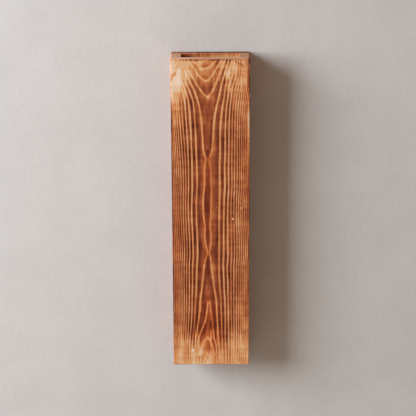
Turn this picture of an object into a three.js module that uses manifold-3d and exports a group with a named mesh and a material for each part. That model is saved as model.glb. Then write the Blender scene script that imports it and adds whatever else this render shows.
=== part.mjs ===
// Wall planter: a tall, narrow box of torched and brushed softwood that hangs flat on a wall, open at
// the top, with a plastic liner that lifts out. The boards are butt-jointed, glued and pinned from
// behind, so that the front board shows no metal, and a keyhole plate let into the back board hangs the
// box on one wall screw.
//
// Millimetres, +Z up. The origin is the middle of the back face, which lies on the wall, and the front
// looks along -Y. Left and right are as seen from the front.

import * as THREE from "three";
import { mergeVertices } from "three/addons/utils/BufferGeometryUtils.js";
import Module from "manifold-3d";

const wasm = await Module();
wasm.setup();

// ---------------------------------------------------------------- driving sizes

// The box and its boards
const WIDTH = 97; // across the front board
const HEIGHT = 400;
const WELL_DEPTH = 23; // front to back, between the front and back boards
const FRONT_THICKNESS = 13;
const BACK_THICKNESS = 13;
const SIDE_THICKNESS = 13;
const FLOOR_THICKNESS = 13;
const OUTER_EASE = 1.2; // radius sanded on the outside arrises
const EASE_STEPS = 4;
const MOUTH_EASE = 0.6; // small bevel sanded round the inside of the mouth

// The liner, a thin moulded trough that stands on the floor block
const LINER_CLEARANCE = 0.8; // between the liner's bead and the wood
const LINER_WALL = 1.2;
const LINER_FLOOR = 1.5;
const LINER_DRAFT = 1.0; // how far each wall leans in, from top to bottom
const LINER_CORNER = 3.5; // outside corner radius
const LINER_RIM_DROP = 12; // from the planter's rim down to the liner's
const BEAD_RADIUS = 1.1; // of the rolled rim
const BEAD_START = -Math.PI / 4; // where the bead's round leaves the wall's outside
const BEAD_STEPS = 6;
const CORNER_STEPS = 5;

// The pins: round lost-head pins
const PIN_RADIUS = 0.7;
const PIN_HEAD_RADIUS = 1.2;
const PIN_HEAD_HEIGHT = 1.2;
const PIN_TIP = 1.6; // length of the point
const PIN_BITE = 15; // how far a pin goes into the second board
const PIN_CLEARANCE = 0.1; // between a pin and its hole
const PIN_SIDES = 10;
const PINS_PER_SIDE = 5; // through the back board into each side
const PIN_END_MARGIN = 28; // from the box's ends to the first and last of them
const FLOOR_PIN_SPACING = 24; // between the two pins through the back board into the floor block
const SIDE_PIN_SPACING = 11; // between the two pins through each side into the floor block
const FLOOR_PIN_STAGGER = 5; // the side pins pass this far above those through the back board

// The keyhole plate, its pocket and its screws
const PLATE_LENGTH = 46;
const PLATE_WIDTH = 17;
const PLATE_THICKNESS = 2;
const PLATE_CORNER = 3;
const PLATE_CLEARANCE = 0.3; // round the plate
const PLATE_SINK = 0.3; // from the back face of the wood down to the plate's
const PLATE_TOP_MARGIN = 22; // from the box's top down to the plate
const ENTRY_RADIUS = 5; // of the hole that the wall screw's head goes in by
const SLOT_WIDTH = 5; // of the slot that its shank slides up
const SLOT_TRAVEL = 12; // from the entry hole's centre up to the slot's end centre
const POCKET_MARGIN = 0.6; // the head pocket is this much larger than the entry hole
const POCKET_DEPTH = 7; // behind the plate
const SCREW_SPACING = 36;
const SCREW_HEAD_RADIUS = 3;
const SCREW_HEAD_HEIGHT = 1.8;
const SCREW_SHANK_RADIUS = 1.5;
const SCREW_LENGTH = 11;
const SCREW_TIP = 2.5;
const SCREW_CLEARANCE = 0.15;
const RECESS_LENGTH = 3.4; // of the cross in the screw's head
const RECESS_WIDTH = 0.8;
const RECESS_DEPTH = 1.2;
const ROUND_STEPS = 24;

const CUT_OVERLAP = 1; // how far a cutter runs past the face that it cuts
const MERGE_DISTANCE = 1e-4; // below this, two corners of a mesh are one

// ---------------------------------------------------------------- sizes that follow

const DEPTH = FRONT_THICKNESS + WELL_DEPTH + BACK_THICKNESS;
const TOP = HEIGHT / 2;
const BOTTOM = -HEIGHT / 2;
const WELL_WIDTH = WIDTH - 2 * SIDE_THICKNESS;
const WELL_BACK = -BACK_THICKNESS; // the well's back wall
const WELL_FRONT = WELL_BACK - WELL_DEPTH;
const WELL_MIDDLE = (WELL_BACK + WELL_FRONT) / 2;
const WELL_FLOOR = BOTTOM + FLOOR_THICKNESS;
const SIDE_CENTRE = (WIDTH - SIDE_THICKNESS) / 2;
const FLOOR_CENTRE = BOTTOM + FLOOR_THICKNESS / 2;
const PLATE_CENTRE = TOP - PLATE_TOP_MARGIN - PLATE_LENGTH / 2;
const ENTRY_HEIGHT = PLATE_CENTRE - SLOT_TRAVEL / 2;
const PLATE_BACK = -PLATE_SINK;

// ---------------------------------------------------------------- materials

const torchedWood = new THREE.MeshStandardMaterial({ color: 0xa05e39, roughness: 0.62, metalness: 0 });
const plainWood = new THREE.MeshStandardMaterial({ color: 0xc98f5c, roughness: 0.7, metalness: 0 });
const linerPlastic = new THREE.MeshStandardMaterial({ color: 0x24262a, roughness: 0.5, metalness: 0 });
const zincPlated = new THREE.MeshStandardMaterial({ color: 0xb9bcc0, roughness: 0.35, metalness: 1 });
const pinSteel = new THREE.MeshStandardMaterial({ color: 0x8e8f92, roughness: 0.4, metalness: 1 });

// ---------------------------------------------------------------- solids from geometries and back

/** A closed geometry as a solid that can be cut and joined. */
function solidOf(geometry) {
  const bare = geometry.index ? geometry.toNonIndexed() : geometry.clone();
  bare.deleteAttribute("normal");
  bare.deleteAttribute("uv");
  const merged = mergeVertices(bare, MERGE_DISTANCE);
  return new wasm.Manifold(
    new wasm.Mesh({
      numProp: 3,
      vertProperties: new Float32Array(merged.attributes.position.array),
      triVerts: new Uint32Array(merged.index.array),
    }),
  );
}

/** A solid as a geometry with flat faces. */
function geometryOf(solid) {
  const mesh = solid.getMesh();
  const indexed = new THREE.BufferGeometry();
  indexed.setAttribute("position", new THREE.BufferAttribute(mesh.vertProperties, mesh.numProp));
  indexed.setIndex(new THREE.BufferAttribute(mesh.triVerts, 1));
  const geometry = indexed.toNonIndexed();
  geometry.computeVertexNormals();
  return geometry;
}

/** A box given by its lowest and highest corners. */
function boxBetween(low, high) {
  const size = high.map((value, axis) => value - low[axis]);
  const centre = high.map((value, axis) => (value + low[axis]) / 2);
  return new THREE.BoxGeometry(...size).translate(...centre);
}

/** A rectangle with round corners, centred on the origin. */
function roundedRectangle(width, height, radius) {
  const x = width / 2;
  const y = height / 2;
  const shape = new THREE.Shape();
  shape.absarc(x - radius, y - radius, radius, 0, Math.PI / 2, false);
  shape.absarc(-x + radius, y - radius, radius, Math.PI / 2, Math.PI, false);
  shape.absarc(-x + radius, -y + radius, radius, Math.PI, 1.5 * Math.PI, false);
  shape.absarc(x - radius, -y + radius, radius, 1.5 * Math.PI, 2 * Math.PI, false);
  shape.closePath();
  return shape;
}

// ---------------------------------------------------------------- pins and screws

// A fastener is made along +Y with the face of its head at the origin, and turned to drive the right way.
const AS_MADE = new THREE.Vector3(0, 1, 0);
const FORWARD = new THREE.Vector3(0, -1, 0);

/** The hole of a fastener, moved to where the fastener goes. */
function holeOf({ place, direction }, geometry) {
  const turn = new THREE.Quaternion().setFromUnitVectors(AS_MADE, direction);
  return solidOf(geometry.applyQuaternion(turn).translate(...place));
}

/** A lost-head pin. With a clearance, it is the hole that the pin sits in. */
function pinGeometry(length, clearance = 0) {
  const mouth = clearance > 0 ? -CUT_OVERLAP : 0;
  const profile = [
    [0, mouth],
    [PIN_HEAD_RADIUS + clearance, mouth],
    [PIN_HEAD_RADIUS + clearance, PIN_HEAD_HEIGHT],
    [PIN_RADIUS + clearance, PIN_HEAD_HEIGHT + PIN_HEAD_RADIUS - PIN_RADIUS + clearance],
    [PIN_RADIUS + clearance, length - PIN_TIP + clearance],
    [0, length + 2 * clearance],
  ];
  return new THREE.LatheGeometry(profile.map((point) => new THREE.Vector2(...point)), PIN_SIDES);
}

/** The pins: name, head place, driving direction, length and the two boards that each one holds. */
function pinList() {
  const pins = [];
  const span = HEIGHT - 2 * PIN_END_MARGIN;
  for (const [side, sign] of [["left", -1], ["right", 1]]) {
    for (let i = 0; i < PINS_PER_SIDE; i++) {
      const height = TOP - PIN_END_MARGIN - (span * i) / (PINS_PER_SIDE - 1);
      pins.push({
        name: `back_pin_${side}_${i + 1}`,
        place: [sign * SIDE_CENTRE, 0, height],
        direction: FORWARD,
        length: BACK_THICKNESS + PIN_BITE,
        boards: ["back_board", `${side}_side`],
      });
    }
    pins.push({
      name: `floor_pin_back_${side}`,
      place: [(sign * FLOOR_PIN_SPACING) / 2, 0, FLOOR_CENTRE - FLOOR_PIN_STAGGER / 2],
      direction: FORWARD,
      length: BACK_THICKNESS + PIN_BITE,
      boards: ["back_board", "floor_block"],
    });
    for (const [end, way] of [["front", -1], ["rear", 1]]) {
      pins.push({
        name: `floor_pin_${side}_${end}`,
        place: [
          (sign * WIDTH) / 2,
          WELL_MIDDLE + (way * SIDE_PIN_SPACING) / 2,
          FLOOR_CENTRE + FLOOR_PIN_STAGGER / 2,
        ],
        direction: new THREE.Vector3(-sign, 0, 0),
        length: SIDE_THICKNESS + PIN_BITE,
        boards: [`${side}_side`, "floor_block"],
      });
    }
  }
  return pins;
}

const pins = pinList();

/** The outline of a countersunk screw from its head's face. With a clearance, it is the screw's hole. */
function screwProfile(clearance = 0) {
  const mouth = clearance > 0 ? -CUT_OVERLAP : 0;
  return [
    [0, mouth],
    [SCREW_HEAD_RADIUS + clearance, mouth],
    [SCREW_HEAD_RADIUS + clearance, clearance],
    [SCREW_SHANK_RADIUS + clearance, SCREW_HEAD_HEIGHT + clearance],
    [SCREW_SHANK_RADIUS + clearance, SCREW_LENGTH - SCREW_TIP + clearance],
    [0, SCREW_LENGTH + 2 * clearance],
  ].map((point) => new THREE.Vector2(...point));
}

/** The two plate screws, above and below the keyhole. */
const screws = [["upper", 1], ["lower", -1]].map(([end, sign]) => ({
  name: `plate_screw_${end}`,
  place: [0, PLATE_BACK, PLATE_CENTRE + (sign * SCREW_SPACING) / 2],
  direction: FORWARD,
}));

/** A screw with a cross recess in its head. */
function screwSolid() {
  let screw = solidOf(new THREE.LatheGeometry(screwProfile(), ROUND_STEPS));
  for (const [x, z] of [[RECESS_LENGTH, RECESS_WIDTH], [RECESS_WIDTH, RECESS_LENGTH]]) {
    screw = screw.subtract(
      solidOf(boxBetween([-x / 2, -CUT_OVERLAP, -z / 2], [x / 2, RECESS_DEPTH, z / 2])),
    );
  }
  return screw;
}

/** Cuts every screw's hole in a solid. */
function cutScrewHoles(solid) {
  return screws.reduce((left, screw) => {
    const hole = new THREE.LatheGeometry(screwProfile(SCREW_CLEARANCE), ROUND_STEPS);
    return left.subtract(holeOf(screw, hole));
  }, solid);
}

// ---------------------------------------------------------------- boards

/** The whole box's outside, with its arrises sanded round. Every board is trimmed to it. */
function outsideForm() {
  const bar = (width, height, length) => {
    const outline = roundedRectangle(width, height, OUTER_EASE);
    const form = new THREE.ExtrudeGeometry(outline, {
      depth: length,
      bevelEnabled: false,
      curveSegments: EASE_STEPS,
    });
    return form.translate(0, 0, -length / 2);
  };
  const upright = bar(WIDTH, DEPTH, HEIGHT);
  const across = bar(DEPTH, HEIGHT, WIDTH).rotateY(Math.PI / 2).rotateX(Math.PI / 2);
  const through = bar(WIDTH, HEIGHT, DEPTH).rotateX(Math.PI / 2);
  return [upright, across, through]
    .map((form) => solidOf(form.translate(0, -DEPTH / 2, 0)))
    .reduce((left, right) => left.intersect(right));
}

/** The sanded bevel round the mouth, as a cutter that widens upwards. */
function mouthBevel() {
  const rise = MOUTH_EASE + CUT_OVERLAP;
  const outline = new THREE.Shape([
    new THREE.Vector2(-WELL_WIDTH / 2, -WELL_DEPTH / 2),
    new THREE.Vector2(WELL_WIDTH / 2, -WELL_DEPTH / 2),
    new THREE.Vector2(WELL_WIDTH / 2, WELL_DEPTH / 2),
    new THREE.Vector2(-WELL_WIDTH / 2, WELL_DEPTH / 2),
  ]);
  const form = new THREE.ExtrudeGeometry(outline, { depth: rise, bevelEnabled: false });
  const position = form.attributes.position;
  for (let i = 0; i < position.count; i++) {
    if (position.getZ(i) > rise / 2) {
      position.setX(i, position.getX(i) + Math.sign(position.getX(i)) * rise);
      position.setY(i, position.getY(i) + Math.sign(position.getY(i)) * rise);
    }
  }
  return solidOf(form.translate(0, WELL_MIDDLE, TOP - MOUTH_EASE));
}

const outside = outsideForm();
const bevel = mouthBevel();

/** A board between two corners, trimmed to the box's outside and bored for its pins. */
function board(name, low, high) {
  const blank = solidOf(boxBetween(low, high)).intersect(outside).subtract(bevel);
  return pins
    .filter((pin) => pin.boards.includes(name))
    .reduce((left, pin) => left.subtract(holeOf(pin, pinGeometry(pin.length, PIN_CLEARANCE))), blank);
}

/** An upright flat outline as a solid between two depths, its front face at y = front. */
function uprightExtrusion(shape, front, back, height) {
  const form = new THREE.ExtrudeGeometry(shape, {
    depth: back - front,
    bevelEnabled: false,
    curveSegments: ROUND_STEPS / 2,
  });
  return solidOf(form.rotateX(Math.PI / 2).translate(0, back, height));
}

/** The stadium that the entry hole and the slot sweep, grown by a margin. */
function headPocketOutline() {
  const radius = ENTRY_RADIUS + POCKET_MARGIN;
  return roundedRectangle(2 * radius, SLOT_TRAVEL + 2 * radius, radius);
}

/** The back board: let in for the keyhole plate, with a pocket behind it for the wall screw's head. */
function backBoard() {
  const plateSeat = roundedRectangle(
    PLATE_WIDTH + 2 * PLATE_CLEARANCE,
    PLATE_LENGTH + 2 * PLATE_CLEARANCE,
    PLATE_CORNER + PLATE_CLEARANCE,
  );
  const seatFloor = PLATE_BACK - PLATE_THICKNESS;
  const blank = board("back_board", [-WIDTH / 2, WELL_BACK, BOTTOM], [WIDTH / 2, 0, TOP])
    .subtract(uprightExtrusion(plateSeat, seatFloor, CUT_OVERLAP, PLATE_CENTRE))
    .subtract(uprightExtrusion(headPocketOutline(), seatFloor - POCKET_DEPTH, 0, PLATE_CENTRE));
  return cutScrewHoles(blank);
}

/** The zinc-plated plate with its keyhole: an entry hole below and a slot that runs up from it. */
function keyholePlate() {
  const plate = roundedRectangle(PLATE_WIDTH, PLATE_LENGTH, PLATE_CORNER);
  const entry = ENTRY_HEIGHT - PLATE_CENTRE;
  const slotEnd = entry + SLOT_TRAVEL;
  const slotMeets = Math.asin(SLOT_WIDTH / 2 / ENTRY_RADIUS);
  const keyhole = new THREE.Path();
  keyhole.absarc(0, entry, ENTRY_RADIUS, Math.PI / 2 - slotMeets, Math.PI / 2 + slotMeets, true);
  keyhole.absarc(0, slotEnd, SLOT_WIDTH / 2, Math.PI, 0, true);
  keyhole.closePath();
  plate.holes.push(keyhole);
  const blank = uprightExtrusion(plate, PLATE_BACK - PLATE_THICKNESS, PLATE_BACK, PLATE_CENTRE);
  return cutScrewHoles(blank);
}

// ---------------------------------------------------------------- liner

/** Points round a rounded rectangle at one height, counter-clockwise seen from above. */
function ringAt({ halfWidth, halfDepth, radius, height }) {
  const ring = [];
  const corners = [[1, 1], [-1, 1], [-1, -1], [1, -1]];
  corners.forEach(([x, y], quarter) => {
    for (let i = 0; i <= CORNER_STEPS; i++) {
      const angle = ((quarter + i / CORNER_STEPS) * Math.PI) / 2;
      ring.push([
        x * (halfWidth - radius) + radius * Math.cos(angle),
        y * (halfDepth - radius) + radius * Math.sin(angle),
        height,
      ]);
    }
  });
  return ring;
}

/** A closed skin through a stack of rings, closed at the first and last ring by a flat end. */
function skinThrough(sections) {
  const rings = sections.map(ringAt);
  const points = [];
  const triangle = (a, b, c) => points.push(...a, ...b, ...c);
  const count = rings[0].length;
  for (let level = 0; level + 1 < rings.length; level++) {
    for (let i = 0; i < count; i++) {
      const j = (i + 1) % count;
      triangle(rings[level][i], rings[level][j], rings[level + 1][j]);
      triangle(rings[level][i], rings[level + 1][j], rings[level + 1][i]);
    }
  }
  const first = rings[0];
  const last = rings[rings.length - 1];
  for (let i = 0; i < count; i++) {
    const j = (i + 1) % count;
    triangle([0, 0, first[0][2]], first[j], first[i]);
    triangle([0, 0, last[0][2]], last[i], last[j]);
  }
  const skin = new THREE.BufferGeometry();
  skin.setAttribute("position", new THREE.Float32BufferAttribute(points, 3));
  skin.computeVertexNormals();
  return skin;
}

/** The liner, on its foot: a trough with leaning walls and a rolled bead round its rim. */
function linerGeometry() {
  const beadHeight = TOP - LINER_RIM_DROP - WELL_FLOOR - BEAD_RADIUS;
  // Each section is the outline of the liner's top, drawn in by an inset.
  const section = (inset, height) => ({
    halfWidth: WELL_WIDTH / 2 - LINER_CLEARANCE - inset,
    halfDepth: WELL_DEPTH / 2 - LINER_CLEARANCE - inset,
    radius: Math.max(LINER_CORNER + BEAD_RADIUS - inset, LINER_WALL),
    height,
  });
  const insideTop = 2 * BEAD_RADIUS;
  const outsideTop = insideTop - LINER_WALL;
  const sections = [section(outsideTop + LINER_DRAFT, 0), section(outsideTop, beadHeight - BEAD_RADIUS)];
  for (let i = 0; i <= BEAD_STEPS; i++) {
    const angle = BEAD_START + ((Math.PI - BEAD_START) * i) / BEAD_STEPS;
    const inset = BEAD_RADIUS * (1 - Math.cos(angle));
    sections.push(section(inset, beadHeight + BEAD_RADIUS * Math.sin(angle)));
  }
  sections.push(section(insideTop + LINER_DRAFT, LINER_FLOOR));
  return skinThrough(sections);
}

// ---------------------------------------------------------------- the assembly

const planter = new THREE.Group();
const box = new THREE.Group();
const hanger = new THREE.Group();
planter.add(box);
box.add(hanger);

/** Adds one named piece to a group. */
function add(group, name, geometry, material) {
  const mesh = new THREE.Mesh(geometry, material);
  mesh.name = name;
  group.add(mesh);
  return mesh;
}

/** Adds a board between two corners. */
function addBoard(name, low, high, material) {
  add(box, name, geometryOf(board(name, low, high)), material);
}

/** Adds a fastener, turned to drive its way. */
function addFastener(group, { name, place, direction }, geometry, material) {
  const mesh = add(group, name, geometry, material);
  mesh.position.set(...place);
  mesh.quaternion.setFromUnitVectors(AS_MADE, direction);
}

const outerX = WIDTH / 2;
const wellX = WELL_WIDTH / 2;
addBoard("front_board", [-outerX, -DEPTH, BOTTOM], [outerX, WELL_FRONT, TOP], torchedWood);
addBoard("left_side", [-outerX, WELL_FRONT, BOTTOM], [-wellX, WELL_BACK, TOP], torchedWood);
addBoard("right_side", [wellX, WELL_FRONT, BOTTOM], [outerX, WELL_BACK, TOP], torchedWood);
addBoard("floor_block", [-wellX, WELL_FRONT, BOTTOM], [wellX, WELL_BACK, WELL_FLOOR], plainWood);
add(box, "back_board", geometryOf(backBoard()), torchedWood);
pins.forEach((pin) => addFastener(box, pin, pinGeometry(pin.length), pinSteel));

add(hanger, "keyhole_plate", geometryOf(keyholePlate()), zincPlated);
screws.forEach((screw) => addFastener(hanger, screw, geometryOf(screwSolid()), zincPlated));

const liner = add(planter, "liner", linerGeometry(), linerPlastic);
liner.position.set(0, WELL_MIDDLE, WELL_FLOOR);

export default planter;
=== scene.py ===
"""Wall planter of torched and brushed softwood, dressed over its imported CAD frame.

The boards are finely cut copies of their CAD nodes. Each vertex carries the number of its growth ring,
how close the rings stand and how far the char was brushed away, so that the grain of the faces, the edges
and the end grain is one solid figure. The brush digs out the soft wood between the rings, and that relief
is in the mesh. The liner, the hanging plate, the screws and the pins are the CAD nodes themselves, with
finishes of their own. Lengths are in millimetres where a name says so by ending in _mm, or by standing in
a class that says so, and in metres elsewhere.
"""

import logging
from collections.abc import Callable
from dataclasses import dataclass
from enum import Enum
from math import radians

import bmesh
import bpy
import numpy as np
from mathutils import Matrix, Vector, noise

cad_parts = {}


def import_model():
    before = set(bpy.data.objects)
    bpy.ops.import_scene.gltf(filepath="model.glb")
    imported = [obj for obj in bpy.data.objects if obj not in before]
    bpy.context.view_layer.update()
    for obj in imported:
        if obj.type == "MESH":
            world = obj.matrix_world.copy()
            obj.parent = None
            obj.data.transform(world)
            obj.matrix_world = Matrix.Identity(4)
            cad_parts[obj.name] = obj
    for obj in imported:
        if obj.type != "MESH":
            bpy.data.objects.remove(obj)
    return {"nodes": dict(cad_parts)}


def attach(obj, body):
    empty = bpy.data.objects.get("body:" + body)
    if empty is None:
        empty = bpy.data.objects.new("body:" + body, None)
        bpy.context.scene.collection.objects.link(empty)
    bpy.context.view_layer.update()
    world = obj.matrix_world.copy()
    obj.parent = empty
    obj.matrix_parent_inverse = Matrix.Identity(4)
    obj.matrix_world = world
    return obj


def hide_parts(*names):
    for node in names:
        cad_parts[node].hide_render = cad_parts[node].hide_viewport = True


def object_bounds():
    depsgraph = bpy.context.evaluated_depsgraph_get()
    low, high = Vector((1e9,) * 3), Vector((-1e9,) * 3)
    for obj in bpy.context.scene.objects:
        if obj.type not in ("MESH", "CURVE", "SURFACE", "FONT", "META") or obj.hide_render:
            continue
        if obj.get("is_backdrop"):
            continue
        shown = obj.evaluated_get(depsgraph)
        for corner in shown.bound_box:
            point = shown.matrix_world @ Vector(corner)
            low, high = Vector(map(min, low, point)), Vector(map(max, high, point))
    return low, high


LOG = logging.getLogger("planter")
MM = 0.001
FRONT = -49.0  # the front face's depth, in millimetres
EVERYWHERE = 1e6  # a reach that leaves a direction out
RING_CURVE = 0.009  # how fast the rings close up away from the heart, in rings per square millimetre
FLATTEST, STEEPEST = 0.01, 2.0  # the least and the most rings a millimetre that are told apart
NOISE = (0.3, 0.7)  # nearly all of what a noise node gives lies between these
SEED_SHIFT = 7.31  # how far each seed moves a noise, in cells
ABOVE_NOTHING = 1e-6  # keeps a root from falling below 0
SAME_POINT = 1e-6  # points nearer than this are one, in metres
ON_THE_CUT = 1e-7  # and points nearer to a cut than this lie on it
SAME_FACE = radians(0.5)  # faces that meet flatter than this are one


class Slot(Enum):
    """The record's material slots."""

    TORCHED = "torched_wood"
    PLAIN = "plain_wood"
    LINER = "liner_plastic"
    ZINC = "zinc_plate"
    STEEL = "pin_steel"


class Axis(Enum):
    """The directions of the row frame: across the front, front to back, and up."""

    ACROSS = 0
    DEPTH = 1
    UP = 2


# ---------------------------------------------------------------- colours and nodes


def linear(code: str) -> tuple[float, float, float, float]:
    """Turns a colour as a screen shows it into the linear light that Blender works in.

    Args:
        code: six hexadecimal digits of sRGB, with or without a # before them.

    Returns:
        Red, green, blue and an alpha of 1.
    """
    parts = [int(code.lstrip("#")[i : i + 2], 16) / 255 for i in (0, 2, 4)]
    red, green, blue = (p / 12.92 if p <= 0.04045 else ((p + 0.055) / 1.055) ** 2.4 for p in parts)
    return red, green, blue, 1.0


def feed(tree: bpy.types.NodeTree, node: bpy.types.Node, inputs: dict | tuple) -> None:
    """Feeds a node's inputs.

    Args:
        tree: the node tree of a material or of the world.
        node: the node.
        inputs: what feeds each input, by its name or number, or for the first ones in their order: another
            node, which gives its first output, a socket, or a plain value.
    """
    for name, value in inputs.items() if isinstance(inputs, dict) else enumerate(inputs):
        value = value.outputs[0] if isinstance(value, bpy.types.Node) else value
        if isinstance(value, bpy.types.NodeSocket):
            tree.links.new(value, node.inputs[name])
        else:
            node.inputs[name].default_value = value


def add_node(
    tree: bpy.types.NodeTree, kind: str, inputs: dict | tuple = (), **settings: object
) -> bpy.types.Node:
    """Adds a node, sets it and feeds its inputs.

    Args:
        tree: the node tree of a material or of the world.
        kind: the node's type without its "ShaderNode" start, such as "Math".
        inputs: what feeds its inputs, as for feed.
        settings: the node's own properties. stops, on a colour ramp, is a list of (place, colour code).

    Returns:
        The new node.
    """
    node = tree.nodes.new("ShaderNode" + kind)
    stops = settings.pop("stops", None)
    for name, value in settings.items():
        setattr(node, name, value)
    if stops:
        ramp = node.color_ramp.elements
        while len(ramp) < len(stops):
            ramp.new(0.5)
        for element, (place, code) in zip(ramp, stops):
            element.position, element.color = place, linear(code)
    feed(tree, node, inputs)
    return node


def cells(across_mm: float, along_mm: float | None = None) -> float | tuple[float, float, float]:
    """Works out the scale that gives a noise cells of a real size.

    Args:
        across_mm: the width of a cell, in millimetres.
        along_mm: its length, up the object, where it isn't the same.

    Returns:
        The scale of a noise node, or of a mapping node where the cells are long.
    """
    across = 1 / (across_mm * MM)
    return across if along_mm is None else (across, across, 1 / (along_mm * MM))


def new_material(name: str) -> tuple[bpy.types.Material, bpy.types.NodeTree, bpy.types.Node]:
    """Makes an empty material with one principled shader.

    Args:
        name: the material's name.

    Returns:
        The material, its node tree, and the shader node, which is wired to the output.
    """
    material = bpy.data.materials.new(name)
    material.use_nodes = True
    tree = material.node_tree
    tree.nodes.clear()
    shader = add_node(tree, "BsdfPrincipled")
    add_node(tree, "OutputMaterial", (shader,))
    return material, tree, shader


# ---------------------------------------------------------------- growth rings


def smooth_curve(knots: tuple[tuple[float, float], ...], at: np.ndarray) -> np.ndarray:
    """Reads a smooth curve that passes through its knots and doesn't swing past them.

    Args:
        knots: (place, value) pairs, in order of place.
        at: the places to read.

    Returns:
        The curve's value at each place.
    """
    place, value = np.array(knots, float).T
    step = np.diff(place)
    slope = np.diff(value) / step
    tangent = np.concatenate([slope[:1], np.zeros(len(place) - 2), slope[-1:]])
    turning = slope[:-1] * slope[1:]
    agree = turning > 0
    tangent[1:-1][agree] = 2 * turning[agree] / (slope[:-1] + slope[1:])[agree]
    i = np.clip(np.searchsorted(place, at) - 1, 0, len(step) - 1)
    t = np.clip((at - place[i]) / step[i], 0, 1)
    rise = value[i] * (1 + 2 * t) * (1 - t) ** 2 + value[i + 1] * t * t * (3 - 2 * t)
    return rise + step[i] * (tangent[i] * t * (1 - t) ** 2 - tangent[i + 1] * t * t * (1 - t))


def soft_noise(points: np.ndarray, cell: tuple[float, float, float], seed: float) -> np.ndarray:
    """Reads smooth noise at many points.

    Args:
        points: one point a row, in millimetres.
        cell: the size of the noise's cells along x, y and z, in millimetres.
        seed: a number that moves the noise elsewhere.

    Returns:
        A number from -1 to 1 for each point.
    """
    return np.array([noise.noise(Vector(p)) for p in points / np.array(cell) + seed * SEED_SHIFT])


@dataclass(frozen=True)
class GrowthRings:
    """The growth rings of one board, in millimetres. A whole number is the hard edge of a ring."""

    heart: tuple[float, float] = (0.0, -4.0)  # the tree's heart, across and in depth
    ring_area: float = 205.0  # every ring has about this area, over pi
    lean: tuple[float, float] = (0.0, 0.0)  # how far the heart shifts over a metre of height
    sway: float = 0.10  # how far the rings wander, in rings
    slow_cell: tuple[float, float, float] = (16, 16, 90)  # how far it is between one sway and the next
    quick_cell: tuple[float, float, float] = (5, 5, 22)
    quick_share: float = 0.6  # of the quick sway against the slow one
    seed: float = 1.0
    first: float = 0.0  # added to every number, so that boards differ

    def number(self, points: np.ndarray) -> np.ndarray:
        """Numbers the ring at each point, one a row, with the share of the way through it."""
        return self.first + self.figure(points) + self.wander(points)

    def figure(self, points: np.ndarray) -> np.ndarray:
        """Numbers the rings of the plain tree, without their small unevenness.

        Args:
            points: one point a row.

        Returns:
            The ring's number.
        """
        x, y, z = points.T
        across = x - self.heart[0] - self.lean[0] * z / 1000
        depth = y - self.heart[1] - self.lean[1] * z / 1000
        return (across**2 + depth**2) / self.ring_area

    def wander(self, points: np.ndarray) -> np.ndarray:
        """The small unevenness of the rings, in rings.

        Args:
            points: one point a row.

        Returns:
            What to add to each ring number.
        """
        slow = soft_noise(points, self.slow_cell, self.seed)
        quick = soft_noise(points, self.quick_cell, self.seed + 1)
        return self.sway * (slow + self.quick_share * quick)

    def slope(self, points: np.ndarray, normals: np.ndarray) -> np.ndarray:
        """Measures how close the rings stand on the face.

        Args:
            points: one point a row.
            normals: the face's direction there.

        Returns:
            The rings that pass in a millimetre, at each point.
        """
        step = 0.4
        steepest = np.stack(
            [
                (self.figure(points + step * way) - self.figure(points - step * way)) / (2 * step)
                for way in np.eye(3)
            ],
            axis=1,
        )
        through = np.sum(steepest * normals, axis=1, keepdims=True) * normals
        return np.clip(np.linalg.norm(steepest - through, axis=1), 0.0, STEEPEST)


@dataclass(frozen=True)
class Swirl:
    """A place where the rings bulge, as they do beside a knot that lies deeper, in millimetres."""

    across: float
    height: float
    width: float
    length: float
    rings: float


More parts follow.
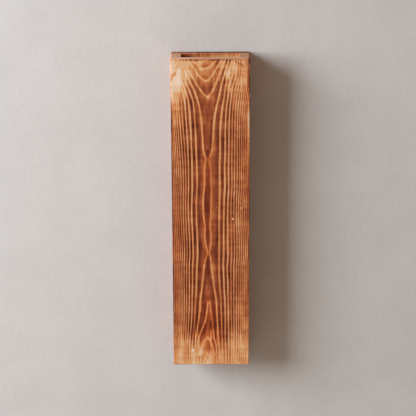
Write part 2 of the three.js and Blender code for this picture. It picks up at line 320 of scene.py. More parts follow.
@dataclass(frozen=True)
class CathedralRings(GrowthRings):
    """The rings of the front board, sawn flat through the tree's curve, so that they meet in arches.

    Not all of these numbers were chosen by hand. The two ring areas, the upper and lower reach, the knots
    above 170 of the centre line and the heart line, the latter's knot at 125 and the five strongest swirls
    are rounded from a program's fit to measured rings. The rest were set one by one.
    """

    right_area: float = 220.0  # ring area to the right of the heart, over pi
    left_area: float = 178.0
    # The ring on the centre line at each height: arches point down at the top and up at the bottom
    centre_line: tuple[tuple[float, float], ...] = (
        (-200, -3.3), (-185.6, -2.61), (-163.2, -1.73), (-114.9, -1.03), (-92, -0.42), (-68, -0.16),
        (-54, -0.105), (-30, -0.105), (15, -0.125), (40, -0.1), (66, -0.13), (84, -0.18), (100, -0.22),
        (124, -0.33), (140, -0.6), (151.3, -1), (173.2, -2.13), (188.4, -3.22), (200, -4.26),
    )  # fmt: skip
    # What is added to it close to the heart, where the innermost ring pinches together
    pinch_line: tuple[tuple[float, float], ...] = (
        (-90, 0), (-70, 0.02), (-58, 0.047), (-48, 0.096), (-40.5, 0.073), (-28, 0.016), (-13, 0.053),
        (7, -0.01), (27, -0.02), (44.5, 0.03), (62, 0.066), (72, 0.128), (75.8, 0.145), (79.5, 0.123),
        (89.5, 0.055), (112, 0.036), (140, 0),
    )  # fmt: skip
    pinch_reach: float = 8.0
    # Where the heart stands below the face at each height
    heart_line: tuple[tuple[float, float], ...] = (
        (-200, -4.2), (-160, -4.0), (-115, -4.1), (-92, -4.0), (-70, -4.0), (-48, -3.1),
        (-28, -3.5), (7, -4.5), (24, -4.3), (40, -3.6), (77, -3.5), (125, -3.3), (150, -2.6), (173, -4.6),
        (188, -6.3), (200, -6.4),
    )  # fmt: skip
    upper_reach: tuple[float, float] = (45.0, 3.0)  # how far out the arches open, and how squarely
    lower_reach: tuple[float, float] = (14.9, 1.43)
    reach_change: tuple[float, float] = (-15.0, 45.0)  # between these heights the one passes into the other
    calm_reach: float = 20.0  # the rings wander fully this far from the heart
    calm_share: float = 0.06  # and by this share of it at the heart
    swirls: tuple[Swirl, ...] = (
        Swirl(-18.5, 45, 5, 50, 0.18),
        Swirl(11, 65, 4, 25, 0.1),
        Swirl(17, -48, 8, 42, 0.32),
        Swirl(12, 112, 3.5, 26, 0.13),
        Swirl(-43.6, 164.5, 14.7, 73, -2.1),
        Swirl(45.6, 187.7, 22.2, 23.5, -4.1),
        Swirl(26.5, 179.8, 30.5, 32.3, 0.7),
        Swirl(-18.7, 188, 5, 8, 0.3),
        Swirl(-1.8, 149, 3.2, 5, -0.13),
        Swirl(-3.2, 171.5, 4, 6, -0.12),
        Swirl(-9, -128.5, 5, 20.5, 0.42),
        Swirl(-1.2, -112, 2.6, 9, -0.10),
        Swirl(-23.5, -183, 20, 36.5, -1.0),
        Swirl(-14, -170, 6, 16, -0.33),
        Swirl(3.5, -178, 4.5, 9, -0.32),
    )

    def figure(self, points: np.ndarray) -> np.ndarray:
        """Numbers the rings of the plain tree, without their small unevenness.

        Args:
            points: one point a row.

        Returns:
            The ring's number.
        """
        x, y, z = points.T
        across = x - smooth_curve(self.heart_line, z)
        start, end = self.reach_change
        upper = np.clip((z - start) / (end - start), 0, 1)
        open_above, open_below = (
            np.exp(-((np.abs(across) / reach) ** power))
            for reach, power in (self.upper_reach, self.lower_reach)
        )
        arch = smooth_curve(self.centre_line, z) * (upper * open_above + (1 - upper) * open_below)
        rings = across**2 / np.where(across > 0, self.right_area, self.left_area) + arch
        for s in self.swirls:
            rings += s.rings * np.exp(-(((x - s.across) / s.width) ** 2) - ((z - s.height) / s.length) ** 2)
        rings += smooth_curve(self.pinch_line, z) * np.exp(-((across / self.pinch_reach) ** 2))
        return rings + ((y - self.heart[1]) ** 2 - (FRONT - self.heart[1]) ** 2) / self.ring_area

    def wander(self, points: np.ndarray) -> np.ndarray:
        """The small unevenness of the rings, which fades out at the heart, where rings are wide."""
        across = points[:, 0] - smooth_curve(self.heart_line, points[:, 2])
        return super().wander(points) * np.clip((across / self.calm_reach) ** 2, self.calm_share, 1)


# ---------------------------------------------------------------- what the brush and the torch left


@dataclass(frozen=True)
class Patch:
    """A soft-edged place that is paler or darker, in millimetres: mostly where the brush left more char or
    less, and in the inner corner of the back board a painted shade.
    """

    centre: tuple[float, float, float]
    reach: tuple[float, float, float]
    amount: float  # more than 0 is paler
    power: float = 2.0  # above 2 the middle is flatter and the edge quicker
    ragged: float = 22.0  # how far strands run into the patch or stop short of it

    def at(self, points: np.ndarray, strands: np.ndarray) -> np.ndarray:
        """Says what the patch adds to the paleness at points whose strands of wood are numbered -1 to 1."""
        away = points + np.outer(strands, (0, 0, self.ragged)) - np.array(self.centre)
        return self.amount * np.exp(-np.sum(np.abs(away / np.array(self.reach)) ** self.power, axis=1))


def on_front(
    *spots: tuple[float, float, float, float, float], power: float = 2.0, ragged: float = 22.0
) -> tuple[Patch, ...]:
    """Makes patches on the front that reach through the whole board.

    Args:
        spots: for each patch how far across and how high it lies, its reach across and up, and its amount.
        power: the power of them all.
        ragged: how ragged they all are.

    Returns:
        The patches.
    """
    return tuple(
        Patch((x, FRONT, z), (wide, EVERYWHERE, high), amount, power, ragged)
        for x, z, wide, high, amount in spots
    )


@dataclass(frozen=True)
class Streak:
    """A darker or paler strand along the grain, a scratch or a tear, drawn on the front, in millimetres."""

    path: tuple[tuple[float, float], ...]  # (height, across) pairs, from the lower end to the upper
    width: float
    amount: float
    depth: float = 3.0  # behind the front face

    def at(self, points: np.ndarray) -> np.ndarray:
        """Reads the streak at each point.

        Args:
            points: one point a row.

        Returns:
            What it adds to the paleness.
        """
        x, y, z = points.T
        tilt = smooth_curve(self.path, z + 0.5) - smooth_curve(self.path, z - 0.5)
        across = (x - smooth_curve(self.path, z)) / np.hypot(1, tilt) / self.width
        past_end = np.maximum(self.path[0][0] - z, z - self.path[-1][0])
        return self.amount * np.exp(-(across**2)) * np.clip(1 - past_end, 0, 1) * (y < FRONT + self.depth)


@dataclass(frozen=True)
class Brushing:
    """How pale a board is from place to place: 0 is char, 1 is bare wood."""

    base: float = 0.44
    patches: tuple[Patch, ...] = ()
    streaks: tuple[Streak, ...] = ()
    oiled: tuple[Patch, ...] = ()  # where the oil soaked in deeper, which makes the wood redder
    unevenness: float = 0.14
    strand_cell: tuple[float, float, float] = (1.7, 1.7, 60)
    blotch_cell: tuple[float, float, float] = (6, 6, 22)
    chatter_cell: tuple[float, float, float] = (26, 26, 5)  # the brush's chatter, across the grain
    chatter_share: float = 0.6  # of the chatter against the blotches
    seed: float = 3.0

    def paleness(self, points: np.ndarray) -> np.ndarray:
        """Reads the paleness at each point.

        Args:
            points: one point a row, in millimetres.

        Returns:
            The paleness.
        """
        strands = soft_noise(points, self.strand_cell, self.seed + 4)
        pale = self.base + sum((p.at(points, strands) for p in self.patches), np.zeros(len(points)))
        pale += sum((s.at(points) for s in self.streaks), np.zeros(len(points)))
        pale += self.unevenness * soft_noise(points, self.blotch_cell, self.seed)
        chatter = soft_noise(points, self.chatter_cell, self.seed + 2)
        return pale + self.chatter_share * self.unevenness * chatter

    def warmth(self, points: np.ndarray) -> np.ndarray:
        """Says how deep the oil soaked in at each point, from 0 for the least to 1 for the most."""
        still = np.zeros(len(points))
        return np.clip(sum((p.at(points, still) for p in self.oiled), np.zeros(len(points))), 0, 1)


# ---------------------------------------------------------------- finishes


@dataclass(frozen=True)
class TorchedPine:
    """Softwood charred with a torch and brushed along the grain with a steel brush, then oiled thinly.

    The brush takes the soft wood between the rings down and leaves it dark, while the hard edge of each
    ring stands up, loses its char and shows as a pale thin line.
    """

    name: str = "torched_pine"
    # From char to bare wood, as it looks in plain light
    tones: tuple[tuple[float, str], ...] = (
        (0.0, "481A0C"), (0.15, "6A2D17"), (0.30, "823C1F"), (0.45, "9C4F2A"), (0.60, "BC6C3B"),
        (0.75, "D89257"), (0.88, "E1B382"), (1.0, "E9D0B5"),
    )  # fmt: skip
    # Sawn ends drink the soot in and stay duller and pinker
    end_tones: tuple[tuple[float, str], ...] = (
        (0.0, "42231A"), (0.35, "86533A"), (0.6, "C28C68"), (0.8, "D29E7A"), (1.0, "DEB49A"),
    )  # fmt: skip
    line_mm: tuple[float, float] = (0.5, 1.9)  # from a line's middle to where it starts to fade, and ends
    line_share: float = 0.30  # of the room between rings, to which it narrows where these stand close
    line_gain: float = 0.58  # how much paler the line is
    char_gain: float = 0.44  # how much darker the wood is just inside the line
    char_mm: tuple[float, float] = (2.6, 7.0)  # where that darkness starts to fade, and ends
    char_rest: float = 0.42  # what is left of it there
    line_limit: tuple[float, float] = (0.50, 0.5)  # as pale as a line gets in full char, and the rise of that
    luck: tuple[float, float] = (0.65, 1.0)  # the faintest ring's share of its line, and the strongest's
    fade: tuple[float, float] = (0.65, 1.15)  # and the same from place to place along a ring
    fade_mm: tuple[float, float] = (9.0, 70.0)  # width and length of such a place
    torn: tuple[float, float] = (0.4, 1.3)  # the least and the most char on a bundle of fibres
    # What is left of line and char, each as from, to, and the share at both. The first goes by how pale the
    # wood is, the other two by how many rings pass in a millimetre
    contrast: tuple[float, float, float, float] = (0.48, 0.85, 1.0, 0.06)
    apart: tuple[float, float, float, float] = (0.02, 0.16, 0.46, 1.0)
    crowded: tuple[float, float, float, float] = (0.29, 0.44, 1.0, 0.5)
    fibre_gain: float = 0.80
    fibre_bare: tuple[float, float, float, float] = (0.5, 0.9, 1.0, 0.2)  # bare wood hides the fibres too
    bundle_share: float = 0.5  # how much a bundle of fibres counts against a single one
    strand: tuple[float, float] = (0.52, 0.68)  # the fibres' noise where charred strands start, and are full
    strand_gain: float = 0.22  # how much darker these are
    fibre_mm: tuple[float, float] = (0.7, 8.0)  # width and length of a streak of fibres
    flake_mm: tuple[float, float] = (1.8, 22.0)  # and of a bundle of them
    pit_mm: tuple[float, float] = (1.2, 2.4)  # pits in the char, four times too coarse so that they show
    pit_gain: float = 0.22
    end_line: float = 0.35  # how much of the rings the sawn ends show
    pore_mm: float = 0.5
    pore_gain: float = 0.25
    warm_tint: str = "FFE4CE"  # what the oil takes from the light where it soaked in deepest
    roughness: tuple[float, float] = (0.74, 0.5)  # of the char and of the ring edge rubbed smooth
    specular: float = 0.18
    bump_strength: float = 0.7
    bump_mm: float = 0.12

    def build(self) -> bpy.types.Material:
        """Makes the material.

        Returns:
            The material, which reads the attributes ring, slope, pale, charred, warm and end_grain.
        """
        material, tree, shader = new_material(self.name)
        ring, slope, pale, charred, warm, end = (
            add_node(tree, "Attribute", attribute_name=name).outputs["Fac"]
            for name in ("ring", "slope", "pale", "charred", "warm", "end_grain")
        )
        place = add_node(tree, "TexCoord").outputs["Object"]
        fade, flakes, fibres, pits = (
            add_node(
                tree,
                "TexNoise",
                {
                    "Vector": add_node(tree, "Mapping", {"Vector": place, "Scale": cells(*cell_mm)}),
                    "Scale": 1.0,
                    "Detail": detail,
                    "Roughness": roughness,
                },
            )
            for cell_mm, detail, roughness in (
                (self.fade_mm, 2.0, 0.5),
                (self.flake_mm, 3.0, 0.6),
                (self.fibre_mm, 4.0, 0.6),
                (self.pit_mm, 2.0, 0.5),
            )
        )
        pores = add_node(tree, "TexNoise", {"Vector": place, "Scale": cells(self.pore_mm), "Detail": 3.0})
        # Fibres, bundles, pits and pores are lighter and darker by turns
        fibre, bundle, pit, pore = (
            add_node(tree, "Math", (texture, 0.5), operation="SUBTRACT")
            for texture in (fibres, flakes, pits, pores)
        )
        line, char = self.line_and_char(tree, ring, slope, fade, flakes)

        # Both tell less where the wood is bare, and where the rings stand far apart or crowd
        contrast = add_node(tree, "MapRange", (pale, *self.contrast))
        rise = add_node(tree, "MapRange", (slope, *self.apart))
        fall = add_node(tree, "MapRange", (slope, *self.crowded))
        for share in (rise, fall, charred):
            contrast = add_node(tree, "Math", (contrast, share), operation="MULTIPLY")
        figure = add_node(tree, "Math", (line, self.line_gain), operation="MULTIPLY")
        figure = add_node(tree, "Math", (char, -self.char_gain, figure), operation="MULTIPLY_ADD")
        tone = add_node(tree, "Math", (figure, contrast, pale), operation="MULTIPLY_ADD")
        # Char hides even the hard edges a little
        limit, lift = self.line_limit
        most = add_node(tree, "Math", (pale, lift, limit), operation="MULTIPLY_ADD")
        tone = add_node(tree, "Math", (tone, most), operation="MINIMUM")

        # Inside the box the wood was never brushed, and the fibres show less
        streak = add_node(tree, "Math", (bundle, self.bundle_share, fibre), operation="MULTIPLY_ADD")
        brushed = add_node(tree, "Math", (charred, self.fibre_gain), operation="MULTIPLY")
        seen = add_node(tree, "MapRange", (pale, *self.fibre_bare))
        brushed = add_node(tree, "Math", (brushed, seen), operation="MULTIPLY")
        tone = add_node(tree, "Math", (streak, brushed, tone), operation="MULTIPLY_ADD")
        tone = add_node(tree, "Math", (pit, self.pit_gain, tone), operation="MULTIPLY_ADD")
        strand = add_node(
            tree, "MapRange", (fibres, *self.strand, 0.0, 1.0), interpolation_type="SMOOTHSTEP"
        )
        strand = add_node(tree, "Math", (strand, contrast), operation="MULTIPLY")
        tone = add_node(tree, "Math", (strand, -self.strand_gain, tone), operation="MULTIPLY_ADD")

        # The sawn ends: pores instead of streaks
        end_tone = add_node(tree, "Math", (figure, self.end_line, pale), operation="MULTIPLY_ADD")
        end_tone = add_node(tree, "Math", (pore, self.pore_gain, end_tone), operation="MULTIPLY_ADD")

        long_colour = add_node(tree, "ValToRGB", (tone,), stops=self.tones)
        end_colour = add_node(tree, "ValToRGB", (end_tone,), stops=self.end_tones)
        oiled = add_node(
            tree,
            "Mix",
            {0: warm, 6: long_colour, 7: linear(self.warm_tint)},
            data_type="RGBA",
            blend_type="MULTIPLY",
        ).outputs[2]
        colour = add_node(tree, "Mix", {0: end, 6: oiled, 7: end_colour}, data_type="RGBA").outputs[2]
        rough = add_node(tree, "MapRange", (line, 0.0, 1.0, *self.roughness))
        relief = add_node(tree, "Math", (line, contrast, fibres), operation="MULTIPLY_ADD")
        bump = add_node(
            tree, "Bump", {"Strength": self.bump_strength, "Distance": self.bump_mm * MM, "Height": relief}
        )
        feed(tree, shader, {"Base Color": colour, "Roughness": rough, "Specular IOR Level": self.specular})
        feed(tree, shader, {"Normal": bump})
        return material

    def line_and_char(
        self,
        tree: bpy.types.NodeTree,
        ring: bpy.types.NodeSocket,
        slope: bpy.types.NodeSocket,
        fade: bpy.types.Node,
        flakes: bpy.types.Node,
    ) -> tuple[bpy.types.Node, bpy.types.Node]:
        """Adds the pale line at the hard edge of each ring, and the char just inside it.

        Args:
            tree: the material's node tree.
            ring: the number of the ring.
            slope: how many rings pass in a millimetre.
            fade: noise for the places where a line fades.
            flakes: noise for the bundles of fibres.

        Returns:
            The strength of the line and of the char, each from 0 up.
        """
        # How many millimetres it is to the middle of the next line and back to the last one: d is
        # 2r / (s + sqrt(s^2 + 2cr)), where r is the share of the ring, s its slope and c the slope's change
        behind = add_node(tree, "Math", (ring,), operation="FRACT")
        ahead = add_node(tree, "Math", (1.0, behind), operation="SUBTRACT")
        squared = add_node(tree, "Math", (slope, slope), operation="MULTIPLY")
        away = []
        for share, curve in ((ahead, RING_CURVE), (behind, -RING_CURVE)):
            bent = add_node(tree, "Math", (share, 2 * curve, squared), operation="MULTIPLY_ADD")
            bent = add_node(tree, "Math", (bent, 0.0), operation="MAXIMUM")
            root = add_node(tree, "Math", (bent,), operation="SQRT")
            steep = add_node(tree, "Math", (root, slope), operation="ADD")
            twice = add_node(tree, "Math", (share, 2.0), operation="MULTIPLY")
            away.append(add_node(tree, "Math", (twice, steep), operation="DIVIDE"))
        near = add_node(tree, "Math", (away[0], away[1]), operation="MINIMUM")

        # The pale line, narrower where the rings stand close, and not as pale on every ring
        start, end = self.line_mm
        room = add_node(tree, "Math", (self.line_share, slope), operation="DIVIDE")
        width = add_node(tree, "Math", (room, end), operation="MINIMUM")
        reach = add_node(tree, "Math", (near, width), operation="DIVIDE")
        line = add_node(
            tree, "MapRange", (reach, start / end, 1.0, 1.0, 0.0), interpolation_type="SMOOTHSTEP"
        )
        whole = add_node(tree, "Math", (ring,), operation="ROUND")
        luck = add_node(tree, "TexWhiteNoise", {"W": whole}, noise_dimensions="1D").outputs["Value"]
        luck = add_node(tree, "MapRange", (luck, 0.0, 1.0, *self.luck))
        fade = add_node(tree, "MapRange", (fade, *NOISE, *self.fade))
        for share in (luck, fade):
            line = add_node(tree, "Math", (line, share), operation="MULTIPLY")

        # The char: deepest just inside the line, and ragged along the grain
        char = add_node(
            tree, "MapRange", (away[0], *self.char_mm, 1.0, self.char_rest), interpolation_type="SMOOTHSTEP"
        )
        beside = add_node(tree, "Math", (1.0, line), operation="SUBTRACT")
        ragged = add_node(tree, "MapRange", (flakes, *NOISE, *self.torn))
        for share in (beside, ragged):
            char = add_node(tree, "Math", (char, share), operation="MULTIPLY")
        return line, char


@dataclass(frozen=True)
class PlanedPine(TorchedPine):
    """The same softwood planed and left bare: pale, with the hard edge of each ring the darker part."""

    name: str = "planed_pine"
    tones: tuple[tuple[float, str], ...] = (
        (0.0, "8A5630"), (0.3, "B5804D"), (0.6, "D3A671"), (1.0, "E6C79A"),
    )  # fmt: skip
    end_tones: tuple[tuple[float, str], ...] = ((0.0, "7C5233"), (0.5, "B88A5C"), (1.0, "D8B283"))
    line_gain: float = -0.5
    char_gain: float = -0.08
    fibre_gain: float = 0.12
    pit_gain: float = 0.04
    roughness: tuple[float, float] = (0.66, 0.55)
    bump_mm: float = 0.05


@dataclass(frozen=True)
class MouldedPolypropylene:
    """Black polypropylene from a spark-eroded mould: an even, dull grain of shallow pits."""

    name: str = "moulded_polypropylene"
    tones: tuple[tuple[float, str], ...] = ((0.3, "222326"), (0.7, "2C2D30"))
    grain_mm: float = 0.35
    cloud_mm: float = 14.0
    roughness: tuple[float, float] = (0.42, 0.56)
    bump_strength: float = 0.5
    bump_mm: float = 0.05

    def build(self) -> bpy.types.Material:
        """Makes the material.

        Returns:
            The material.
        """
        material, tree, shader = new_material(self.name)
        place = add_node(tree, "TexCoord").outputs["Object"]
        grain = add_node(tree, "TexNoise", {"Vector": place, "Scale": cells(self.grain_mm), "Detail": 3.0})
        cloud = add_node(tree, "TexNoise", {"Vector": place, "Scale": cells(self.cloud_mm), "Detail": 2.0})
        colour = add_node(tree, "ValToRGB", (cloud,), stops=self.tones)
        rough = add_node(tree, "MapRange", (cloud, *NOISE, *self.roughness))
        bump = add_node(
            tree, "Bump", {"Strength": self.bump_strength, "Distance": self.bump_mm * MM, "Height": grain}
        )
        feed(tree, shader, {"Base Color": colour, "Roughness": rough, "Normal": bump})
        return material


@dataclass(frozen=True)
class ZincPlatedSteel:
    """Pressed steel sheet, zinc plated and passivated: cool grey, a little cloudy, finely brushed."""

    name: str = "zinc_plated_steel"
    tones: tuple[tuple[float, str], ...] = ((0.3, "A9ADB1"), (0.55, "BFC2C4"), (0.8, "D2D2CF"))
    spangle_mm: float = 3.0
    scratch_mm: tuple[float, float] = (0.12, 6.0)
    roughness: tuple[float, float] = (0.3, 0.48)
    bump_strength: float = 0.3
    bump_mm: float = 0.02

    def build(self) -> bpy.types.Material:
        """Makes the material.

        Returns:
            The material.
        """
        material, tree, shader = new_material(self.name)
        place = add_node(tree, "TexCoord").outputs["Object"]
        cloud = add_node(tree, "TexNoise", {"Vector": place, "Scale": cells(self.spangle_mm), "Detail": 4.0})
        fine = add_node(tree, "Mapping", {"Vector": place, "Scale": cells(*self.scratch_mm)})
        scratch = add_node(tree, "TexNoise", {"Vector": fine, "Scale": 1.0, "Detail": 2.0})
        colour = add_node(tree, "ValToRGB", (cloud,), stops=self.tones)
        rough = add_node(tree, "MapRange", (cloud, *NOISE, *self.roughness))
        bump = add_node(
            tree, "Bump", {"Strength": self.bump_strength, "Distance": self.bump_mm * MM, "Height": scratch}
        )
        feed(tree, shader, {"Base Color": colour, "Roughness": rough, "Normal": bump, "Metallic": 1.0})
        return material


@dataclass(frozen=True)
class BrightPinSteel(ZincPlatedSteel):
    """Bright drawn wire, its head flattened by the hammer: darker grey with small dull facets."""

    name: str = "bright_pin_steel"
    tones: tuple[tuple[float, str], ...] = ((0.3, "77787A"), (0.55, "909193"), (0.8, "A7A6A3"))
    spangle_mm: float = 0.6
    scratch_mm: tuple[float, float] = (0.1, 0.4)
    roughness: tuple[float, float] = (0.32, 0.55)


@dataclass(frozen=True)
class PaintedPlaster:
    """Matt emulsion on trowelled plaster: warm grey with a faint cloudiness, a mottle and a fine tooth."""

    name: str = "painted_plaster"
    tones: tuple[tuple[float, str], ...] = ((0.3, "C9C4BD"), (0.7, "CFCAC3"))
    cloud_mm: float = 60.0
    mottle_mm: float = 5.0
    mottle: float = 0.85  # how much the mottle counts against the cloudiness
    tooth_mm: float = 1.5
    roughness: float = 0.9
    bump_strength: float = 0.25
    bump_mm: float = 0.12
    one_sided: bool = True
    seen_pale: float = 0.75  # how much of its plain colour the camera sees where it has two sides

    def build(self) -> bpy.types.Material:
        """Makes the material.

        Returns:
            The material. Where it is one-sided, its back lets everything through.
        """
        material, tree, shader = new_material(self.name)
        place = add_node(tree, "TexCoord").outputs["Object"]
        cloud, tooth, mottle = (
            add_node(tree, "TexNoise", {"Vector": place, "Scale": cells(cell_mm), "Detail": detail})
            for cell_mm, detail in ((self.cloud_mm, 5.0), (self.tooth_mm, 3.0), (self.mottle_mm, 3.0))
        )
        uneven = add_node(tree, "Math", (mottle, 0.5), operation="SUBTRACT")
        shade = add_node(tree, "Math", (uneven, self.mottle, cloud), operation="MULTIPLY_ADD")
        colour = add_node(tree, "ValToRGB", (shade,), stops=self.tones)
        bump = add_node(
            tree, "Bump", {"Strength": self.bump_strength, "Distance": self.bump_mm * MM, "Height": tooth}
        )
        feed(tree, shader, {"Base Color": colour, "Roughness": self.roughness, "Normal": bump})
        feed(tree, shader, {"Specular IOR Level": 0.0})
        if self.one_sided:
            share = add_node(tree, "NewGeometry").outputs["Backfacing"]
            other = add_node(tree, "BsdfTransparent")
        else:
            # Far from the lamps, it looks as pale as it is lit, and still takes a shadow
            path = add_node(tree, "LightPath").outputs
            share = add_node(tree, "Math", (path["Is Camera Ray"], self.seen_pale), operation="MULTIPLY")
            other = add_node(tree, "Emission", (linear(self.tones[-1][1]),))
        mixed = add_node(tree, "MixShader", (share, shader, other))
        output = next(n for n in tree.nodes if n.type == "OUTPUT_MATERIAL")
        feed(tree, output, (mixed,))
        return material


# ---------------------------------------------------------------- mesh work


def merged_copy(node: bpy.types.Object) -> bmesh.types.BMesh:
    """Copies a CAD node's mesh and joins its loose triangles into plain faces.

    Args:
        node: the CAD node's object.

    Returns:
        The copy, closed.
    """
    mesh = bmesh.new()
    mesh.from_mesh(node.data)
    bmesh.ops.remove_doubles(mesh, verts=mesh.verts, dist=SAME_POINT)
    bmesh.ops.dissolve_limit(mesh, angle_limit=SAME_FACE, verts=mesh.verts, edges=mesh.edges)
    return mesh


def cut_evenly(
    mesh: bmesh.types.BMesh, axis: Axis, step: float, wanted: Callable[[bmesh.types.BMFace], bool]
) -> None:
    """Cuts some faces across at even steps, from the low end to the high end.

    Args:
        mesh: the mesh to cut.
        axis: the direction in which the cuts follow each other.
        step: the room between cuts, in metres, changed a little so that they come out even.
        wanted: says of a face whether it is cut.
    """
    faces = [f for f in mesh.faces if wanted(f)]
    places = [v.co[axis.value] for f in faces for v in f.verts]
    low, high = min(places), max(places)
    count = max(1, round((high - low) / step))
    direction = Vector([float(i == axis.value) for i in range(3)])
    for i in range(1, count):
        height = low + (high - low) * i / count
        geometry = list({part for f in faces for part in (f, *f.edges, *f.verts)})
        cut = bmesh.ops.bisect_plane(
            mesh, geom=geometry, dist=ON_THE_CUT, plane_co=direction * height, plane_no=direction
        )
        faces = [
            part
            for part in cut["geom"]
            if isinstance(part, bmesh.types.BMFace) and part.calc_center_median()[axis.value] > height
        ]


def new_object(name: str, mesh: bmesh.types.BMesh, material: bpy.types.Material) -> bpy.types.Object:
    """Turns a bmesh into an object of the scene.

    Args:
        name: the piece's name.
        mesh: its mesh, which is freed.
        material: its finish.

    Returns:
        The object, at the origin.
    """
    data = bpy.data.meshes.new(name)
    mesh.to_mesh(data)
    mesh.free()
    if "custom_normal" in data.attributes:
        data.attributes.remove(data.attributes["custom_normal"])
    data.materials.clear()
    data.materials.append(material)
    thing = bpy.data.objects.new(name, data)
    bpy.context.scene.collection.objects.link(thing)
    return thing


def write_attribute(data: bpy.types.Mesh, name: str, domain: str, values: np.ndarray) -> None:
    """Stores one number for each vertex or face, for the finish to read.

    Args:
        data: the mesh.
        name: the attribute's name.
        domain: "POINT" or "FACE".
        values: the numbers.
    """
    attribute = data.attributes.new(name, "FLOAT", domain)
    attribute.data.foreach_set("value", values.astype(np.float32))


def points_of(data: bpy.types.Mesh, normals: bool = False) -> np.ndarray:
    """Reads the places or the normals of a mesh's vertices.

    Args:
        data: the mesh.
        normals: whether the normals are wanted.

    Returns:
        One row for each vertex.
    """
    found = np.zeros(len(data.vertices) * 3)
    data.vertices.foreach_get("normal" if normals else "co", found)
    return found.reshape(-1, 3)


# ---------------------------------------------------------------- the box


@dataclass(frozen=True)
class Board:
    """One board: a finely cut copy of its CAD node with its rings, its brushing and its relief."""

    node: str
    rings: GrowthRings
    brushing: Brushing
    slot: Slot = Slot.TORCHED
    faces_front: bool = False
    fine_mm: tuple[float, float] = (0.5, 1.25)  # room between cuts on the shown face: across, and up
    plain_mm: tuple[float, float, float] = (1.5, 1.3, 6.0)  # and on the others: across, in depth, up
    relief_mm: float = 0.22  # how deep the brush took the soft wood
    dug_mm: float = 2.2  # from a ring's hard edge to where the soft wood is down in full
    dug_share: float = 0.5  # of the room between rings, where these stand close
    even_share: float = 0.6  # of the depth, that a whole ring has. The rest is most where it starts
    # Where the torch passed quickly the soft wood stayed firm, and less of it came away: how pale, and the
    # share of the depth at both
    firm: tuple[tuple[float, float], tuple[float, float]] = ((0.55, 0.9), (1.0, 0.4))
    skin_mm: float = 1.3  # the torch and the brush went this far round the arrises
    back_mm: float = 0.1  # a point this near to the back lies on the back face, which was torched too
    inner_char: float = 0.3  # how charred the inside is against the outside
    front_turn: float = 0.3  # a face is the front's where its direction has more of that way than this
    end_turn: float = 0.8  # and a sawn end where it has more of up or down than this
    sharp_degrees: float = 38.0  # an edge that turns further than this stays sharp

    def build(
        self, nodes: dict[str, bpy.types.Object], finish: bpy.types.Material, box: tuple[Vector, Vector]
    ) -> bpy.types.Object:
        """Builds and dresses the board.

        Args:
            nodes: the CAD nodes by name.
            finish: its material.
            box: the lowest and highest corner of the whole planter.

        Returns:
            The piece, which stands for its CAD node.
        """
        mesh = merged_copy(nodes[self.node])

        def shown(face: bmesh.types.BMFace) -> bool:
            """Says whether a face is the one that is seen from the front."""
            return self.faces_front and face.normal.y < -self.front_turn

        if self.faces_front:
            for axis, step in zip((Axis.ACROSS, Axis.UP), self.fine_mm):
                cut_evenly(mesh, axis, step * MM, shown)
        for axis, step in zip(Axis, self.plain_mm):
            cut_evenly(mesh, axis, step * MM, lambda face: not shown(face))
        piece = new_object(self.node + "_brushed", mesh, finish)
        self.dress(piece.data, box)
        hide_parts(self.node)
        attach(piece, "box")
        LOG.info("%s: %d faces", piece.name, len(piece.data.polygons))
        return piece

    def dress(self, data: bpy.types.Mesh, box: tuple[Vector, Vector]) -> None:
        """Numbers the rings and digs out the soft wood.

        Args:
            data: the board's mesh.
            box: the lowest and highest corner of the whole planter.
        """
        points = points_of(data) / MM
        normals = points_of(data, normals=True)
        numbers = self.rings.number(points)
        slope = self.rings.slope(points, normals)
        pale = self.brushing.paleness(points)
        low, high = (np.array(corner) / MM for corner in box)
        outside = (points[:, 1] < low[1] + self.skin_mm) | (np.abs(points[:, 0]) > high[0] - self.skin_mm)
        on_back = points[:, 1] > high[1] - self.back_mm
        for name, values in (
            ("ring", numbers),
            ("slope", slope),
            ("pale", pale),
            ("warm", self.brushing.warmth(points)),
            ("charred", np.where(outside | on_back, 1.0, self.inner_char)),
        ):
            write_attribute(data, name, "POINT", values)
        ends = np.array([abs(p.normal.z) > self.end_turn for p in data.polygons], float)
        write_attribute(data, "end_grain", "FACE", ends)

        # The same distance to the nearest line as the finish works out
        behind = numbers - np.floor(numbers)
        ahead = 1 - behind
        near = np.minimum(
            2 * ahead / (slope + np.sqrt(slope**2 + 2 * RING_CURVE * ahead)),
            2 * behind / (slope + np.sqrt(np.maximum(slope**2 - 2 * RING_CURVE * behind, ABOVE_NOTHING))),
        )
        edge = np.clip(near / np.minimum(self.dug_mm, self.dug_share / np.maximum(slope, FLATTEST)), 0, 1)
        uneven = self.even_share + (1 - self.even_share) * ahead
        depth = self.relief_mm * edge * edge * (3 - 2 * edge) * uneven * np.interp(pale, *self.firm) * outside
        moved = points - normals * depth[:, None]
        data.vertices.foreach_set("co", (moved * MM).ravel())
        data.update()
        data.shade_smooth()
        data.set_sharp_from_angle(angle=radians(self.sharp_degrees))


